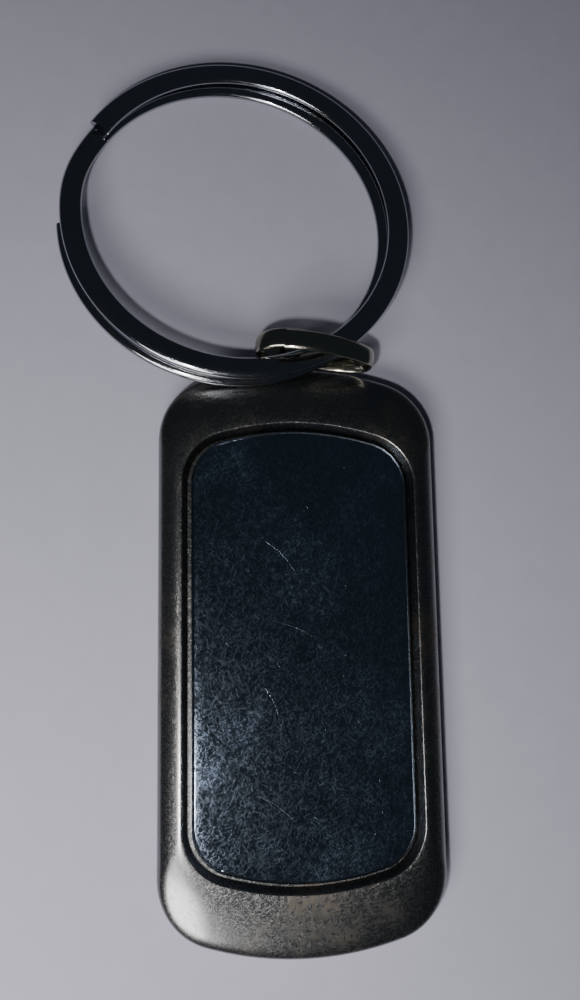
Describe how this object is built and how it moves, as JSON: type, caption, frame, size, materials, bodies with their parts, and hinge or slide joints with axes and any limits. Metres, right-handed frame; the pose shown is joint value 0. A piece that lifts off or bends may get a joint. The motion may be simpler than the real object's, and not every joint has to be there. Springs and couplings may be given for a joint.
{
  "type": "keychain",
  "caption": "Keychain with a barrel-ended metal fob, a polished plate let into each face, an oval strip link and a double-coil split key ring.",
  "frame": {"origin": "centre of the fob's back face, which lies on the table", "axes": "+X across the fob, +Y along the fob towards the rings, +Z out of the fob's front face"},
  "size_m": [0.0344, 0.0823, 0.0072],
  "materials": {
    "fob_nickel": "worn nickel plate, fine scratches, warm smudges in the low spots",
    "face_polish": "polished blue-black plate with dense fine scratches",
    "back_polish": "polished blue-black plate, lightly scratched",
    "adhesive": "thin pressure-sensitive film",
    "link_nickel": "bright nickel, lightly worn",
    "ring_nickel": "bright nickel wire, fine nicks"
  },
  "bodies": {
    "fob": {"fob_case": "fob_nickel", "face_plate": "face_polish", "face_plate_adhesive": "adhesive", "back_plate": "back_polish", "back_plate_adhesive": "adhesive"},
    "link": {"link_ring": "link_nickel"},
    "ring": {"key_ring": "ring_nickel"}
  },
  "joints": [
    {"name": "link_swing", "type": "hinge", "parent": "fob", "child": "link", "pos_m": [0, 0.0272, 0.00152], "axis": [0.9903, -0.1392, 0], "range_deg": [-90, 0]},
    {"name": "ring_turn", "type": "hinge", "parent": "link", "child": "ring", "pos_m": [-0.00528, 0.04023, 0.00264], "axis": [0.0231, 0.1086, 0.9938], "range_deg": [0, 140]}
  ]
}
